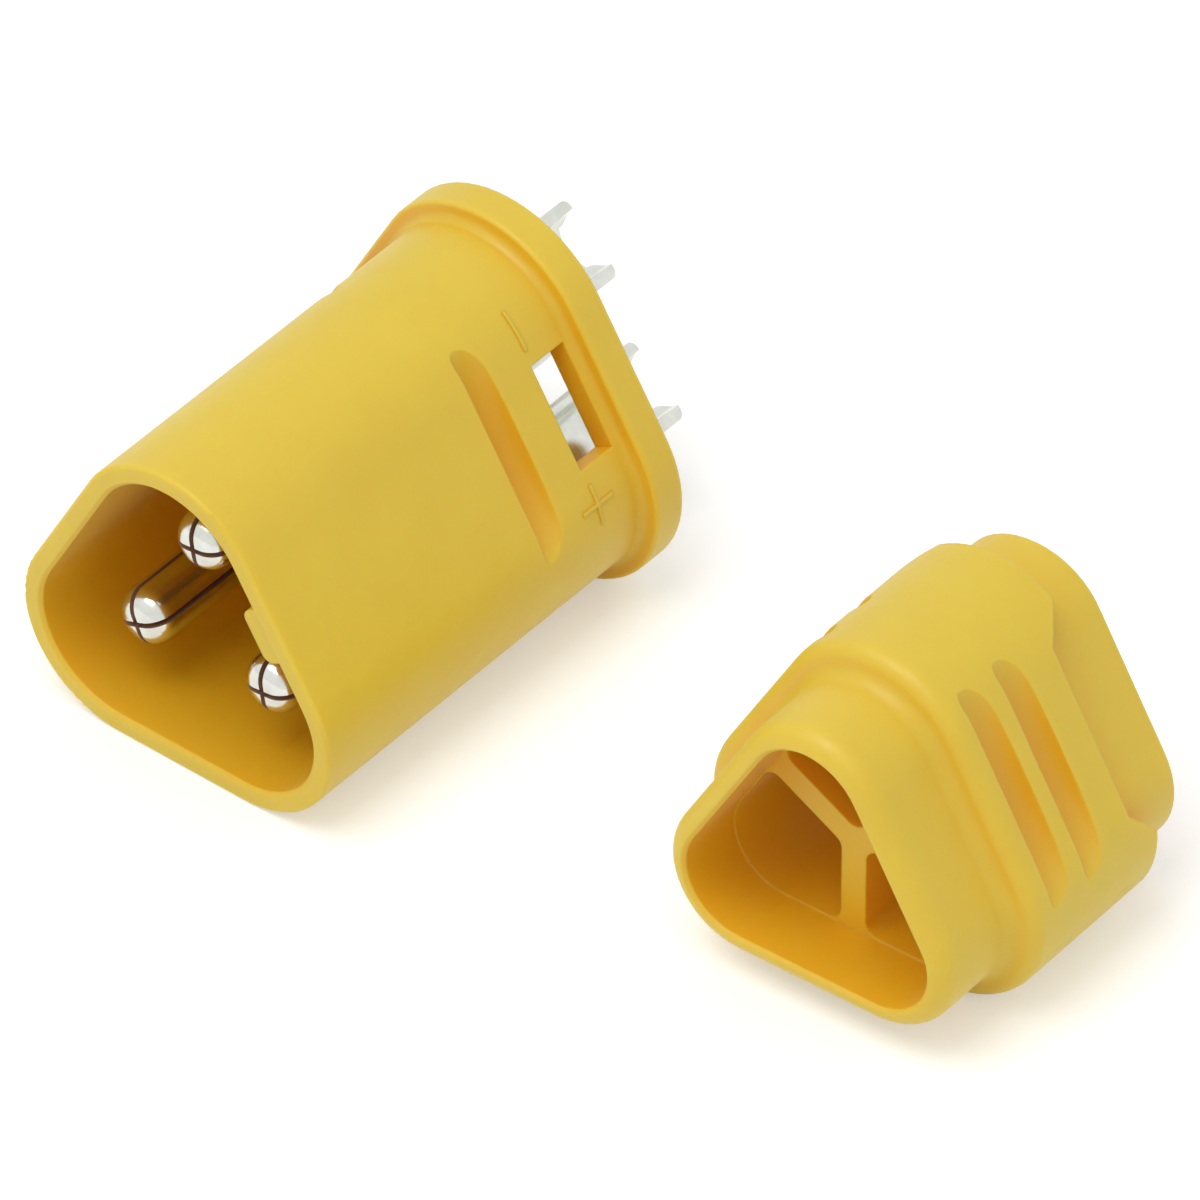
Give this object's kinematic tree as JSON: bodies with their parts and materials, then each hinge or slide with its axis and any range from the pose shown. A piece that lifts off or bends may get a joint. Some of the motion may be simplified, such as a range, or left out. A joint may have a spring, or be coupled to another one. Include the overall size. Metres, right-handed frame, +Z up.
{
  "type": "motor connector",
  "caption": "Keyed motor connector: slit bullet pins in a rounded-triangle nylon shroud with a rear flange and solder cups; its grooved tail cover lies beside it.",
  "frame": {"origin": "middle of the whole bounding box at its base, on the ground", "axes": "+Z up; +Y runs from the housing's mouth to its rear, seen from above; +X from the housing towards the tail cover"},
  "size_m": [0.0348, 0.0204, 0.013],
  "materials": {
    "housing_nylon": "golden-yellow moulded nylon, soft satin sheen",
    "cover_nylon": "golden-yellow moulded nylon, soft satin sheen",
    "contact_plating": "turned brass with bright silver-coloured plating"
  },
  "bodies": {
    "root": {"housing": "housing_nylon", "contact_top": "contact_plating", "contact_left": "contact_plating", "contact_right": "contact_plating", "tail_cover": "cover_nylon"}
  },
  "joints": []
}
